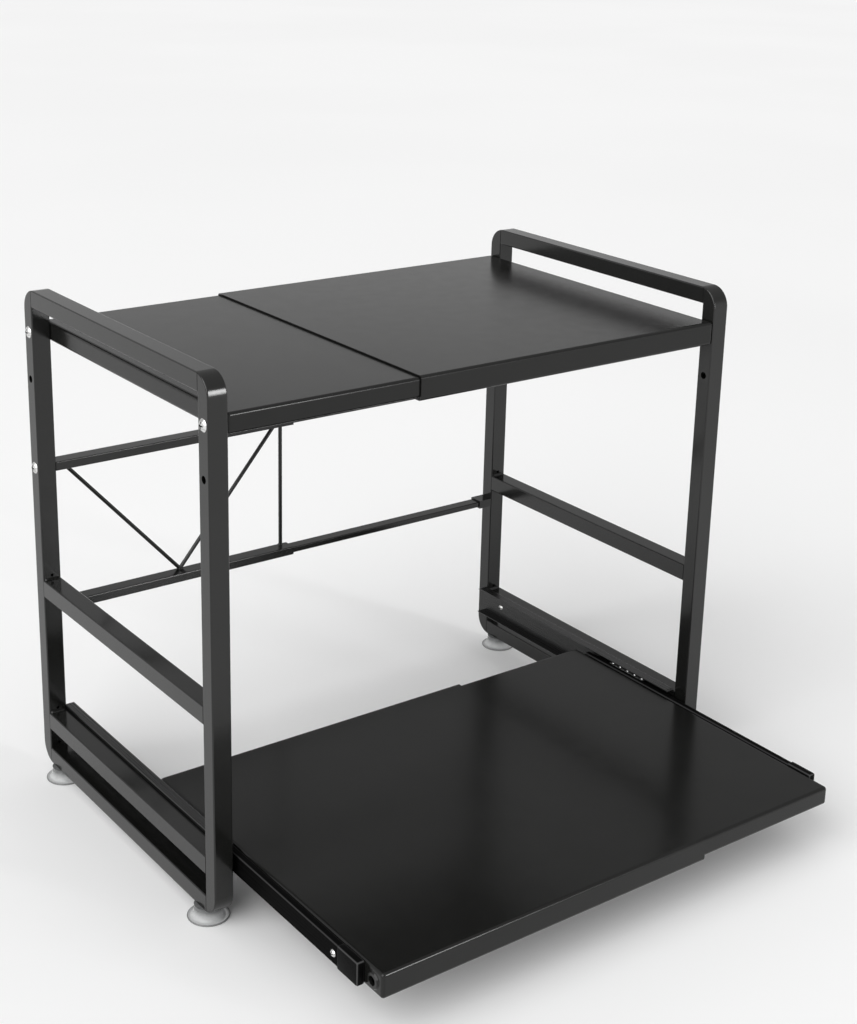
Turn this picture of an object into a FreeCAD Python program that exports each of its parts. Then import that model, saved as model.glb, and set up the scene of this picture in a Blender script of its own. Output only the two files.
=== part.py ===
import FreeCAD, Part
import os

# A two-tier counter rack: two bent-tube side frames, joined by a shelf and by back bars that
# telescope in width, and a lower tray that pulls out on ball slides.
# Millimetres, +X to the right, +Y to the back, +Z up. The origin is on the floor, in the middle
# of the rack's footprint with the tray pulled out as it stands at rest.

# Side frames, each one tube bent into a closed loop
rack_width = 566.0
rack_depth = 342.0
frame_height = 481.0
tube_width = 18.0
tube_depth = 16.0
tube_wall = 1.2
bend_radius = 19.0
edge_radius = 1.2
seam_width = 0.7
seam_depth = 0.4
vent_radius = 1.6
vent_rise = 4.0

# Rails welded into the loops, placed by the height of their tops above the loop's underside
rail_height = 17.0
mid_rail_top = 195.0
lower_rail_top = 54.0

# Suction feet under the bottom rails
foot_height = 12.5
foot_inset = 28.0
cup_radius = 18.7
cup_rim = 1.5
cup_rim_width = 3.0
cup_neck_radius = 12.5
cup_neck_height = 8.5
cup_hollow_depth = 4.0
stud_radius = 3.0
stud_in_tube = 7.0
stud_in_cup = 5.0

# Folded sheet of the shelf and of the tray, each in two halves that slide in one another; the
# shelf lies at a drop below the loop's top
sheet = 1.2
fold_radius = 3.0
slip = 0.4
outer_skirt = 22.5
inner_skirt = 18.0
lip_width = 10.0
half_length = 344.0
shelf_drop = 31.0
strap_offset = 66.5
strap_width = 31.0
strap_thickness = 1.0

# Screws that hold the shelf and the upper back bars to the posts, and the spare holes
screw_radius = 2.5
screw_clearance = 0.1
thread_clearance = 0.05
head_radius = 5.6
head_height = 2.6
recess_reach = 3.0
recess_width = 1.3
recess_depth = 1.4
screw_tip = 1.5
shelf_screw_drop = 10.0
nut_size = 8.0
nut_height = 4.0
spare_hole_radius = 3.4
spare_hole_drop = 45.0

# Back bars: rectangular tubes, the right ones sliding in the left ones
bar_depth = 16.0
bar_height = 9.0
bar_wall = 1.0
bar_edge_radius = 1.0
upper_bar_middle = 307.7
lower_bar_middle = 163.4
left_bar_length = 264.0
right_bar_length = 378.0
insert_length = 14.0
end_block_length = 16.0
pin_radius = 3.0
pin_length = 8.0

# Brace wires welded between the left back bars: the upright from the bar's free end, the others
# from the post's inner face, with a gap between the upright and the top of its neighbour
wire_radius = 2.0
wire_setback = 2.4
brace_start = 14.5
brace_foot = 136.0
brace_gap = 6.0
brace_post_inset = 8.0

# Lower tray
tray_depth = 358.0
tray_top = 53.4
tray_lead = 25.0
ring_hole_radius = 4.1
ring_radius = 7.8
ring_rise = 1.4
ring_inset = 12.5
ring_drop = 11.5

# Ball slides between the lower rails and the tray
slide_gap = 13.0
slide_sheet = 1.2
slide_bend = 0.8
fixed_corner = 4.0
slide_middle = 42.5
slide_start = 16.0
slide_length = 316.0
pulled_out = 193.0
moving_height = 20.0
moving_lip = 2.0
moving_bend = 2.0
moving_clear = 6.0
fixed_flange = 9.8
ball_radius = 1.6
ball_clearance = 0.3
ball_offset = 8.0
ball_pitch = 11.0
balls_in_row = 5
cage_length = 50.0
cage_sheet = 0.8
cage_edge = 0.8
cage_hole_clearance = 0.15
stop_length = 27.0
stop_cap = 1.6
stop_wall = 0.8
slide_screw_radius = 1.75
slide_head_radius = 3.3
slide_head_height = 1.9
slide_recess_reach = 1.9
slide_recess_width = 0.9
slide_recess_depth = 0.9
slide_screw_tip = 5.0
slide_screw_inset = 33.0
slide_screw_count = 2

# How far a cutting body runs past the face that it opens
overcut = 1.0

# Places that follow from the sizes, for the left side; the right side mirrors them
V = FreeCAD.Vector
X = V(1, 0, 0)
Y = V(0, 1, 0)
Z = V(0, 0, 1)
left_out = -rack_width / 2
left_in = left_out + tube_width
tube_middle = left_out + tube_width / 2
tray_reach = pulled_out + tray_lead - slide_start
front = (tray_reach - rack_depth) / 2
back = front + rack_depth
base = foot_height
loop_top = base + frame_height
post_middles = (front + tube_depth / 2, back - tube_depth / 2)
foot_places = (front + foot_inset, back - foot_inset)
step = sheet + slip
shelf_top = frame_height - shelf_drop
shelf_screw_z = base + shelf_top - shelf_screw_drop
spare_hole_z = shelf_screw_z - spare_hole_drop
bar_middle_y = back - tube_depth / 2
upper_bar_z = base + upper_bar_middle
lower_bar_z = base + lower_bar_middle
brace_post = left_bar_length - brace_post_inset
brace_end = brace_post - brace_gap
tray_front = front - tray_reach
tray_wall = left_in + slide_gap
slide_z = base + slide_middle
fixed_y = front + slide_start
moving_y = fixed_y - pulled_out
cage_y = fixed_y + (slide_length - pulled_out - cage_length) / 2
ball_room = 2 * (ball_radius + ball_clearance)
fixed_height = moving_height + 2 * (ball_room + slide_sheet)
ball_x = left_in + ball_offset
ball_row = moving_height / 2 + ball_room / 2
moving_web = left_in + moving_clear
screw_spacing = (slide_length - 2 * slide_screw_inset) / (slide_screw_count - 1)
slide_screw_places = [slide_screw_inset + i * screw_spacing for i in range(slide_screw_count)]


def box(x0, x1, y0, y1, z0, z1):
    """Block between two corners; the two x values may come in either order."""
    return Part.makeBox(abs(x1 - x0), y1 - y0, z1 - z0, V(min(x0, x1), y0, z0))


def rod(radius, start, axis, length):
    """Round bar or drill from a point along an axis."""
    return Part.makeCylinder(radius, length, start, axis)


def along(axis):
    """Test for straight edges that run along an axis."""
    return lambda edge: abs(edge.tangentAt(edge.FirstParameter).dot(axis)) > 0.999


def at_x(*places):
    """Test for edges that lie in one of the planes square to X."""
    return lambda edge: any(all(abs(v.X - x) < 1e-6 for v in edge.Vertexes) for x in places)


def rounded(block, radius, wanted):
    """Block with the wanted edges rounded."""
    return block.makeFillet(radius, [edge for edge in block.Edges if wanted(edge)])


def mirrored(shape):
    """The same piece on the other side of the rack."""
    return shape.mirror(V(0, 0, 0), X)


def rectangular_tube(x0, x1, y0, y1, z0, z1, axis, wall, radius):
    """Rectangular tube along X or Y with rounded long edges and open ends."""
    outside = rounded(box(x0, x1, y0, y1, z0, z1), radius, along(axis))
    x_in, y_in = (-overcut, wall) if axis == X else (wall, -overcut)
    return outside.cut(box(x0 + x_in, x1 - x_in, y0 + y_in, y1 - y_in, z0 + wall, z1 - wall))


def screw(seat, axis, length, radius, head, recess):
    """Round-headed screw with a crossed recess; axis points from the head to the tip."""
    head_r, head_h = head
    reach, width, depth = recess
    crown = (head_r ** 2 + head_h ** 2) / (2 * head_h)
    cap = Part.makeSphere(crown, V(0, 0, crown - head_h))
    cap = cap.common(box(-head_r, head_r, -head_r, head_r, -head_h, 0))
    body = cap.fuse(rod(radius, V(0, 0, 0), Z, length)).removeSplitter()
    floor = depth - head_h
    for half_x, half_y in ((reach, width / 2), (width / 2, reach)):
        body = body.cut(box(-half_x, half_x, -half_y, half_y, -head_h - overcut, floor))
    body.Placement = FreeCAD.Placement(seat, FreeCAD.Rotation(Z, axis))
    return body


def post_screw(y, z, reach):
    """Screw through a post of the left frame, to a depth beyond its inner face."""
    return screw(V(left_out, y, z), X, tube_width + reach, screw_radius,
                 (head_radius, head_height), (recess_reach, recess_width, recess_depth))


def slide_screw(seat, axis, length):
    """Small screw that holds a slide member."""
    return screw(seat, axis, length, slide_screw_radius, (slide_head_radius, slide_head_height),
                 (slide_recess_reach, slide_recess_width, slide_recess_depth))


def loop_seams():
    """Shallow grooves where the notched tube closes at the loop's four corners."""
    grooves = []
    for y in (front + tube_depth, back - tube_depth):
        for z0 in (base, loop_top - tube_depth):
            for x0, x1 in ((left_out - overcut, left_out + seam_depth),
                           (left_in - seam_depth, left_in + overcut)):
                grooves.append(box(x0, x1, y - seam_width / 2, y + seam_width / 2, z0, z0 + tube_depth))
    return grooves


def loop_drills():
    """Drills for the screws, spare holes, bar pin, vents and foot studs of the left loop."""
    through = tube_width + 2 * overcut
    one_wall = tube_wall + 2 * overcut
    screw_hole = screw_radius + screw_clearance
    drills = []
    for y in post_middles:
        drills.append(rod(screw_hole, V(left_out - overcut, y, shelf_screw_z), X, through))
        drills.append(rod(spare_hole_radius, V(left_out - overcut, y, spare_hole_z), X, through))
    drills.append(rod(screw_hole, V(left_out - overcut, bar_middle_y, upper_bar_z), X, through))
    drills.append(rod(pin_radius + screw_clearance,
                      V(left_in + overcut, bar_middle_y, lower_bar_z), -X, one_wall))
    for rail_top in (mid_rail_top, lower_rail_top, tube_depth):
        start = V(tube_middle, back - tube_depth - overcut, base + rail_top + vent_rise)
        drills.append(rod(vent_radius, start, Y, one_wall))
    for y in foot_places:
        drills.append(rod(stud_radius + screw_clearance, V(tube_middle, y, base - overcut), Z, one_wall))
    return drills


def side_loop():
    """Left loop of rectangular tube: bent outer corners, notched square inner corners."""
    outside = rounded(box(left_out, left_in, front, back, base, loop_top), bend_radius, along(X))
    window = box(left_out - overcut, left_in + overcut, front + tube_depth, back - tube_depth,
                 base + tube_depth, loop_top - tube_depth)
    loop = rounded(outside.cut(window), edge_radius, at_x(left_out, left_in))
    hollow = box(left_out + tube_wall, left_in - tube_wall, front + tube_wall, back - tube_wall,
                 base + tube_wall, loop_top - tube_wall)
    hollow = rounded(hollow, bend_radius - tube_wall, along(X))
    inner_wall = tube_depth - tube_wall
    core = box(left_out, left_in, front + inner_wall, back - inner_wall,
               base + inner_wall, loop_top - inner_wall)
    return loop.cut(hollow.cut(core)).cut(loop_seams()).cut(loop_drills())


def welded_rail(top):
    """Rail of the left frame between its posts, at a height above the loop's underside."""
    return rectangular_tube(left_out, left_in, front + tube_depth, back - tube_depth,
                            base + top - rail_height, base + top, Y, tube_wall, edge_radius)


def lower_rail():
    """Lower rail with the holes that take the slide's screws."""
    hole = slide_screw_radius + thread_clearance
    drills = [rod(hole, V(left_in + overcut, fixed_y + y, slide_z), -X, tube_wall + 2 * overcut)
              for y in slide_screw_places]
    return welded_rail(lower_rail_top).cut(drills)


def suction_cup(y):
    """Clear cup foot: a neck under the rail that flares to a thin rim, hollow below."""
    shoulder = base - cup_neck_height
    hollow_top = cup_rim + cup_hollow_depth
    points = [V(0, 0, base), V(cup_neck_radius, 0, base), V(cup_neck_radius, 0, shoulder),
              V(cup_radius, 0, cup_rim), V(cup_radius, 0, 0), V(cup_radius - cup_rim_width, 0, 0),
              V(0, 0, hollow_top), V(0, 0, base)]
    cup = Part.Face(Part.makePolygon(points)).revolve(V(0, 0, 0), Z, 360)
    stud_hole = rod(stud_radius + thread_clearance, V(0, 0, base - stud_in_cup), Z, stud_in_cup + overcut)
    cup = cup.cut(stud_hole)
    cup.translate(V(tube_middle, y, 0))
    return cup


def foot_studs():
    """Studs that hold the left feet in the bottom rail."""
    return Part.makeCompound([rod(stud_radius, V(tube_middle, y, base - stud_in_cup), Z,
                                  stud_in_cup + tube_wall + stud_in_tube) for y in foot_places])


def fold(x_end, x_open, y0, y1, z0, z1, radius):
    """Block rounded on every edge except those of its open end."""
    open_end = at_x(x_open)
    return rounded(box(x_end, x_open, y0, y1, z0, z1), radius, lambda edge: not open_end(edge))


def pan(x_end, x_open, y0, y1, top, skirt):
    """Half of a folded panel: a top, skirts on three sides with lips turned in, one end open."""
    inward = 1 if x_open > x_end else -1
    beyond = x_open + inward * overcut
    bottom = top - skirt
    body = fold(x_end, x_open, y0, y1, bottom, top, fold_radius)
    hollow = fold(x_end + inward * sheet, beyond, y0 + sheet, y1 - sheet,
                  bottom + sheet, top - sheet, fold_radius - sheet)
    mouth = box(x_end + inward * lip_width, beyond, y0 + lip_width, y1 - lip_width,
                bottom - overcut, bottom + sheet + overcut)
    return body.cut([hollow, mouth])


def outer_pan(x_end, x_open, y0, y1, top):
    """The half that covers the other one."""
    return pan(x_end, x_open, y0, y1, top, outer_skirt)


def inner_pan(x_end, x_open, y0, y1, top):
    """The half that slides inside the other one."""
    return pan(x_end, x_open, y0 + step, y1 - step, top - step, inner_skirt)


def shelf_drills(x):
    """Drills through the end skirt of a shelf half for the post screws."""
    return [rod(screw_radius + screw_clearance, V(x - sheet - overcut, y, shelf_screw_z), X,
                2 * (sheet + overcut)) for y in post_middles]


def shelf_strap():
    """Flat strap welded across the lips under the inner half of the shelf."""
    underside = base + shelf_top - step - inner_skirt
    start = left_in + strap_offset
    return box(start, start + strap_width, front + step + fold_radius, back - step - fold_radius,
               underside - strap_thickness, underside)


def shelf_nuts():
    """Square weld nuts behind the left end skirt of the shelf."""
    nuts = []
    x0 = left_in + sheet
    for y in post_middles:
        nut = box(x0, x0 + nut_height, y - nut_size / 2, y + nut_size / 2,
                  shelf_screw_z - nut_size / 2, shelf_screw_z + nut_size / 2)
        drill = rod(screw_radius + thread_clearance, V(x0 - overcut, y, shelf_screw_z), X,
                    nut_height + 2 * overcut)
        nuts.append(nut.cut(drill))
    return Part.makeCompound(nuts)


def shelf_screws():
    """Screws through the left posts into the shelf's nuts."""
    reach = sheet + nut_height + screw_tip
    return Part.makeCompound([post_screw(y, shelf_screw_z, reach) for y in post_middles])


def left_bar(z):
    """Outer back bar, fixed to the left post."""
    return rectangular_tube(left_in, left_in + left_bar_length, bar_middle_y - bar_depth / 2,
                            bar_middle_y + bar_depth / 2, z - bar_height / 2, z + bar_height / 2,
                            X, bar_wall, bar_edge_radius)


def right_bar(z):
    """Inner back bar, which slides in the left one and ends at its block on the right post."""
    end = -left_in - end_block_length
    half_y = bar_depth / 2 - bar_wall - slip
    half_z = bar_height / 2 - bar_wall - slip
    return rectangular_tube(end - right_bar_length + end_block_length, end,
                            bar_middle_y - half_y, bar_middle_y + half_y, z - half_z, z + half_z,
                            X, bar_wall, bar_edge_radius)


def bar_end(z, length, half_y, half_z, pinned):
    """Left end piece of a back bar: a threaded hole for a screw, or a pin into the post."""
    block = box(left_in, left_in + length, bar_middle_y - half_y, bar_middle_y + half_y,
                z - half_z, z + half_z)
    if pinned:
        pin = rod(pin_radius, V(left_in, bar_middle_y, z), -X, pin_length)
        return block.fuse(pin).removeSplitter()
    return block.cut(rod(screw_radius + thread_clearance, V(left_in - overcut, bar_middle_y, z), X,
                         length - bar_wall + overcut))


def bar_insert(z, pinned):
    """End piece inside the left back bar."""
    return bar_end(z, insert_length, bar_depth / 2 - bar_wall, bar_height / 2 - bar_wall, pinned)


def bar_end_block(z, pinned):
    """End piece welded to the right back bar, as deep and high as the left bar."""
    return mirrored(bar_end(z, end_block_length, bar_depth / 2, bar_height / 2, pinned))


def bar_screw():
    """Screw through the left back post into the end of the upper back bar."""
    return post_screw(bar_middle_y, upper_bar_z, insert_length - bar_wall - screw_tip)


def brace_wire(x_low, x_high, x_from, x_to):
    """Straight wire between the two left back bars, cut flush with them and kept between two places."""
    y = back - wire_setback
    low = V(left_in + x_low, y, lower_bar_z + bar_height / 2)
    high = V(left_in + x_high, y, upper_bar_z - bar_height / 2)
    run = (high - low).normalize()
    spare = run * (bar_height / 2)
    wire = rod(wire_radius, low - spare, run, (high - low).Length + bar_height)
    side = 2 * wire_radius
    return wire.common(box(left_in + x_from, left_in + x_to, y - side, y + side, low.z, high.z))


def brace_wires():
    """Two slanting wires, mitred where they meet on the lower bar, and the upright one at the bar's end."""
    return (brace_wire(brace_foot, brace_start, 0, brace_foot),
            brace_wire(brace_foot, brace_end, brace_foot, left_bar_length),
            brace_wire(brace_post, brace_post, 0, left_bar_length))


def tray_end_drills():
    """Drills through the tray's left end skirt for the slide's screws."""
    hole = slide_screw_radius + thread_clearance
    return [rod(hole, V(tray_wall - overcut, moving_y + y, slide_z), X, sheet + 2 * overcut)
            for y in slide_screw_places]


def tray_ring():
    """Raised rim around the hole in the tray's left end skirt."""
    seat = V(tray_wall, tray_front + ring_inset, base + tray_top - ring_drop)
    return Part.makeCone(ring_radius, ring_radius - ring_rise, ring_rise, seat, -X)


def tray_ring_drill():
    """Drill through the rim and the tray's left end skirt."""
    start = V(tray_wall - ring_rise - overcut, tray_front + ring_inset, base + tray_top - ring_drop)
    return rod(ring_hole_radius, start, X, ring_rise + sheet + 2 * overcut)


def tray_half(panel, side):
    """Tray panel with the rim and the holes of its end skirt; side moves them to that end."""
    drills = [side(drill) for drill in tray_end_drills() + [tray_ring_drill()]]
    return panel.fuse(side(tray_ring())).removeSplitter().cut(drills)


def channel(web, tip, y0, height, bend, lip):
    """Slide member: a web, two flanges towards the tip, and lips turned in at the tip."""
    inward = 1 if tip > web else -1
    y1 = y0 + slide_length
    half = height / 2
    room = half - slide_sheet
    body = rounded(box(web, tip, y0, y1, slide_z - half, slide_z + half), bend, along(Y))
    flange_end = tip - inward * slide_sheet if lip else tip + inward * overcut
    body = body.cut(box(web + inward * slide_sheet, flange_end, y0 - overcut, y1 + overcut,
                        slide_z - room, slide_z + room))
    slot = room + slide_sheet - lip if lip else room
    return body.cut(box(tip - inward * 2 * slide_sheet, tip + inward * overcut, y0 - overcut, y1 + overcut,
                        slide_z - slot, slide_z + slot))


def slide_fixed():
    """Slide member screwed to the left lower rail, with rounded corners at its ends."""
    hole = slide_screw_radius + thread_clearance
    drills = [rod(hole, V(left_in - overcut, fixed_y + y, slide_z), X, slide_sheet + 2 * overcut)
              for y in slide_screw_places]
    tip = left_in + fixed_flange
    half = fixed_height / 2
    outline = box(left_in, tip, fixed_y, fixed_y + slide_length, slide_z - half, slide_z + half)
    member = channel(left_in, tip, fixed_y, fixed_height, slide_bend, 0).cut(drills)
    return member.common(rounded(outline, fixed_corner, along(X)))


def slide_moving():
    """Slide member screwed to the tray's left end, its lips on the tray and its web outside."""
    hole = slide_screw_radius + thread_clearance
    drills = [rod(hole, V(moving_web - overcut, moving_y + y, slide_z), X, slide_sheet + 2 * overcut)
              for y in slide_screw_places]
    return channel(moving_web, tray_wall, moving_y, moving_height, moving_bend, moving_lip).cut(drills)


def rail_screws():
    """Screws that hold the fixed member to the left lower rail."""
    length = slide_sheet + tube_wall + slide_screw_tip
    seat_x = left_in + slide_sheet
    return Part.makeCompound([slide_screw(V(seat_x, fixed_y + y, slide_z), -X, length)
                              for y in slide_screw_places])


def tray_screws():
    """Screws through the moving member into the tray's left end."""
    length = tray_wall - moving_web + sheet + slide_screw_tip
    return Part.makeCompound([slide_screw(V(moving_web, moving_y + y, slide_z), X, length)
                              for y in slide_screw_places])


def stop_block():
    """Plastic stop that caps the front end of the moving member on three sides."""
    half = moving_height / 2
    outside = moving_web - stop_wall
    reach = half + stop_wall
    outer_edge = at_x(outside)
    block = box(outside, tray_wall, moving_y - stop_cap, moving_y + stop_length,
                slide_z - reach, slide_z + reach)
    block = rounded(block, moving_bend + stop_wall, lambda edge: along(Y)(edge) and outer_edge(edge))
    member = box(moving_web, tray_wall, moving_y, moving_y + slide_length, slide_z - half, slide_z + half)
    return block.cut(rounded(member, moving_bend, along(Y)))


def ball_rows():
    """Centres of the balls in the lower and in the upper row."""
    first = cage_y + (cage_length - ball_pitch * (balls_in_row - 1)) / 2
    return [[V(ball_x, first + i * ball_pitch, slide_z + z) for i in range(balls_in_row)]
            for z in (-ball_row, ball_row)]


def ball_cage():
    """Lower and upper strips that keep the balls of the left slide apart."""
    hole = ball_radius + cage_hole_clearance
    half_width = hole + cage_edge
    strips = []
    for row in ball_rows():
        z0 = row[0].z - cage_sheet / 2
        strip = box(ball_x - half_width, ball_x + half_width, cage_y, cage_y + cage_length,
                    z0, z0 + cage_sheet)
        strips.append(strip.cut([rod(hole, place - Z * cage_sheet, Z, 2 * cage_sheet) for place in row]))
    return Part.makeCompound(strips)


def slide_balls():
    """Balls of the left slide."""
    return Part.makeCompound([Part.makeSphere(ball_radius, place) for row in ball_rows() for place in row])


def same(shape):
    """The piece as it stands, on the left."""
    return shape


def shelf_half(panel, x):
    """Shelf panel drilled through the end skirt that stands at x."""
    return panel.cut(shelf_drills(x))


def shelf_and_tray():
    """The four sheet halves and the strap: inner on the left for the shelf, outer for the tray."""
    tray_back = tray_front + tray_depth
    shelf_z = base + shelf_top
    tray_z = base + tray_top
    shelf_left = inner_pan(left_in, left_in + half_length, front, back, shelf_z)
    shelf_right = outer_pan(-left_in, -left_in - half_length, front, back, shelf_z)
    tray_left = outer_pan(tray_wall, tray_wall + half_length, tray_front, tray_back, tray_z)
    tray_right = inner_pan(-tray_wall, -tray_wall - half_length, tray_front, tray_back, tray_z)
    return {
        "shelf_left": shelf_half(shelf_left, left_in),
        "shelf_right": shelf_half(shelf_right, -left_in),
        "shelf_tie_strap": shelf_strap(),
        "tray_left": tray_half(tray_left, same),
        "tray_right": tray_half(tray_right, mirrored),
    }


def back_panel():
    """Back bars with their end pieces, and the wires between the left ones."""
    wire_left, wire_right, wire_post = brace_wires()
    return {
        "left_upper_back_bar": left_bar(upper_bar_z),
        "left_lower_back_bar": left_bar(lower_bar_z),
        "right_upper_back_bar": right_bar(upper_bar_z),
        "right_lower_back_bar": right_bar(lower_bar_z),
        "left_upper_bar_insert": bar_insert(upper_bar_z, False),
        "left_lower_bar_plug": bar_insert(lower_bar_z, True),
        "right_upper_bar_block": bar_end_block(upper_bar_z, False),
        "right_lower_bar_block": bar_end_block(lower_bar_z, True),
        "brace_wire_left": wire_left,
        "brace_wire_right": wire_right,
        "brace_wire_upright": wire_post,
    }


def paired_pieces():
    """Pieces that stand on the left and, mirrored, on the right."""
    foot_front, foot_back = [suction_cup(y) for y in foot_places]
    return {
        "side_loop": side_loop(),
        "mid_rail": welded_rail(mid_rail_top),
        "lower_rail": lower_rail(),
        "front_foot": foot_front,
        "back_foot": foot_back,
        "foot_studs": foot_studs(),
        "shelf_nuts": shelf_nuts(),
        "shelf_screws": shelf_screws(),
        "bar_screw": bar_screw(),
        "slide_fixed": slide_fixed(),
        "slide_moving": slide_moving(),
        "slide_stop": stop_block(),
        "rail_screws": rail_screws(),
        "tray_screws": tray_screws(),
        "ball_cage": ball_cage(),
        "slide_balls": slide_balls(),
    }


os.makedirs("parts", exist_ok=True)
nodes = {**shelf_and_tray(), **back_panel()}
for name, piece in paired_pieces().items():
    nodes["left_" + name] = piece
    nodes["right_" + name] = mirrored(piece)
for name, piece in nodes.items():
    piece.exportStep("parts/" + name + ".step")
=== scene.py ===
"""Looks of a two-tier counter rack, built around its packed frame.

Every piece of the frame gets its finish here. The clear suction feet, the slide stops and the weld seams
are surfaces worked out in this file, and a plain studio with the camera stands around them.
"""

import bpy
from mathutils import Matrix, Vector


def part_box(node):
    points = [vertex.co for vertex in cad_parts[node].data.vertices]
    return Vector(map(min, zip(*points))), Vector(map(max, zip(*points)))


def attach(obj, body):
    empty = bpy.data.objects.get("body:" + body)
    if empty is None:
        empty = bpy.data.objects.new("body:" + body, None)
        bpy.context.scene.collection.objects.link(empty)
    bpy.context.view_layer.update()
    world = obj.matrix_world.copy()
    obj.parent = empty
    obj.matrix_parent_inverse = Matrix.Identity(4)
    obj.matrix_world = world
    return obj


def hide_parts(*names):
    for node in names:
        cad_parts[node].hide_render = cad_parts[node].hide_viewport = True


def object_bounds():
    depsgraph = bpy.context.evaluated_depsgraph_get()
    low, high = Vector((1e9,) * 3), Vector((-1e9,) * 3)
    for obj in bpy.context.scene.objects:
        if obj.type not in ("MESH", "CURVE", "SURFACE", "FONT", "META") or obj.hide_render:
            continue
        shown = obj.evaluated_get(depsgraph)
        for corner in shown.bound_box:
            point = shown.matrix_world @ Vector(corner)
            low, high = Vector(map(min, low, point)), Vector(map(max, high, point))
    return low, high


bl_info = {
    "name": "Counter rack looks",
    "version": (1, 0, 0),
    "blender": (4, 5, 0),
    "location": "3D View > Sidebar > Rack",
    "description": "Dresses the packed counter rack and sets up its studio",
    "category": "Object",
}

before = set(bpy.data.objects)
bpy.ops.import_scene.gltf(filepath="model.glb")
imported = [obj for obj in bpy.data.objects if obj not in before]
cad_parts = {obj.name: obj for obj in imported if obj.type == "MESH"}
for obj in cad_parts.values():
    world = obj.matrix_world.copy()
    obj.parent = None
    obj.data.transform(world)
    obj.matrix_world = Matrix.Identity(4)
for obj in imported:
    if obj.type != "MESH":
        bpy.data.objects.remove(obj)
cad_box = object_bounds()

import math

import bpy
import numpy as np
from bpy.props import FloatProperty, FloatVectorProperty, IntProperty, PointerProperty
from bpy.types import Operator, Panel, PropertyGroup
from mathutils import Matrix, Vector

SIDES = ("left", "right")

# Brace wires, with the side to which the top of each leans: -1 is left and 1 is right
WIRES = {"brace_wire_left": -1, "brace_wire_right": 1, "brace_wire_upright": 0}

# Attribute of the cups' points that says how far the vinyl is shaded
SHADE = "shade"

# Ranges over which a pattern goes from one end to the other: a noise value, the largest part of the normal
# from the middle of an edge to a face, the slant beside a side face, and the openness of a recess
NOISE_SPAN = (0.35, 0.65)
EDGE_SPAN = (0.72, 0.995)
LONG_EDGE_SPAN = (0.45, 0.98)
RECESS_SPAN = (0.35, 0.8)

# Points along the curves of the new pieces
CUP_POINTS = 24
RIM_POINTS = 9
SEAM_RINGS = 49
SEAM_POINTS = 9
BLOCK_RINGS = 7
CORNER_POINTS = 6
SPOT_POINTS = 8
SPOT_STEPS = 24

# Points along each side of the floor
FLOOR_POINTS = 3

# Turn, in radians, at which the rounding of a block's end gives way to its flat face
BLOCK_END_TURN = 0.12


def colour_property(name, description, default):
    """Linear colour that a user can change."""
    return FloatVectorProperty(name=name, description=description, default=default, subtype="COLOR",
                               size=3, min=0.0, max=1.0)


def length_property(name, description, default):
    """Length in metres that a user can change."""
    return FloatProperty(name=name, description=description, default=default, min=0.0, unit="LENGTH",
                         subtype="DISTANCE", precision=5)


def share_property(name, description, default):
    """Number from 0 to 1 that a user can change."""
    return FloatProperty(name=name, description=description, default=default, min=0.0, max=1.0,
                         subtype="FACTOR")


def refraction_property(name, description, default):
    """Refractive index that a user can change."""
    return FloatProperty(name=name, description=description, default=default, min=1.0)


def angle_property(name, description, degrees):
    """Angle that a user can change, written in degrees."""
    return FloatProperty(name=name, description=description, default=math.radians(degrees), unit="ROTATION",
                         subtype="ANGLE")


class RackCoat(PropertyGroup):
    """Satin powder coat of the frame, shelf and tray."""

    colour: colour_property("Coat", "Powder coat on the flat faces", (0.0062, 0.0063, 0.0058))
    patch_colour: colour_property("Cloud", "Slightly thicker, lighter coat that clouds the faces",
                                  (0.0073, 0.0074, 0.0069))
    # Lighter colour on the edges: partly the thinner coat there, partly a painted highlight along folds and
    # roundings
    edge_coat_and_highlight_colour: colour_property("Edge", "Thin coat over folded and rounded edges", (0.0095, 0.0095, 0.0091))
    refraction: refraction_property("Refraction", "Refractive index of the coat", 1.5)
    tube_roughness: share_property("Tube roughness", "Middle roughness of the coat on the tubes", 0.16)
    sheet_roughness: share_property("Sheet roughness", "Middle roughness of the coat on the sheets", 0.21)
    roughness_spread: share_property("Roughness spread", "How far the roughness wanders to each side", 0.012)
    tube_sheen: share_property("Tube sheen", "Strength of the coat's plain reflection on the tubes", 0.46)
    sheet_sheen: share_property("Sheet sheen", "Strength of the coat's plain reflection on the sheets", 0.29)
    edge_gloss: share_property("Edge gloss", "Roughness that is lost where edges are rubbed", 0.06)
    patch_size: length_property("Cloud size", "Width of the clouds in the coat", 0.045)
    rough_size: length_property("Rough size", "Width of the clouds in the coat's roughness", 0.015)
    peel_size: length_property("Peel size", "Width of the dimples in the coat", 0.0016)
    peel_height: length_property("Peel height", "Depth of the dimples in the coat", 0.000008)
    grain_size: length_property("Grain size", "Width of the fine grain in the coat", 0.0004)
    grain_height: length_property("Grain height", "Depth of the fine grain in the coat", 0.000002)


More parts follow.
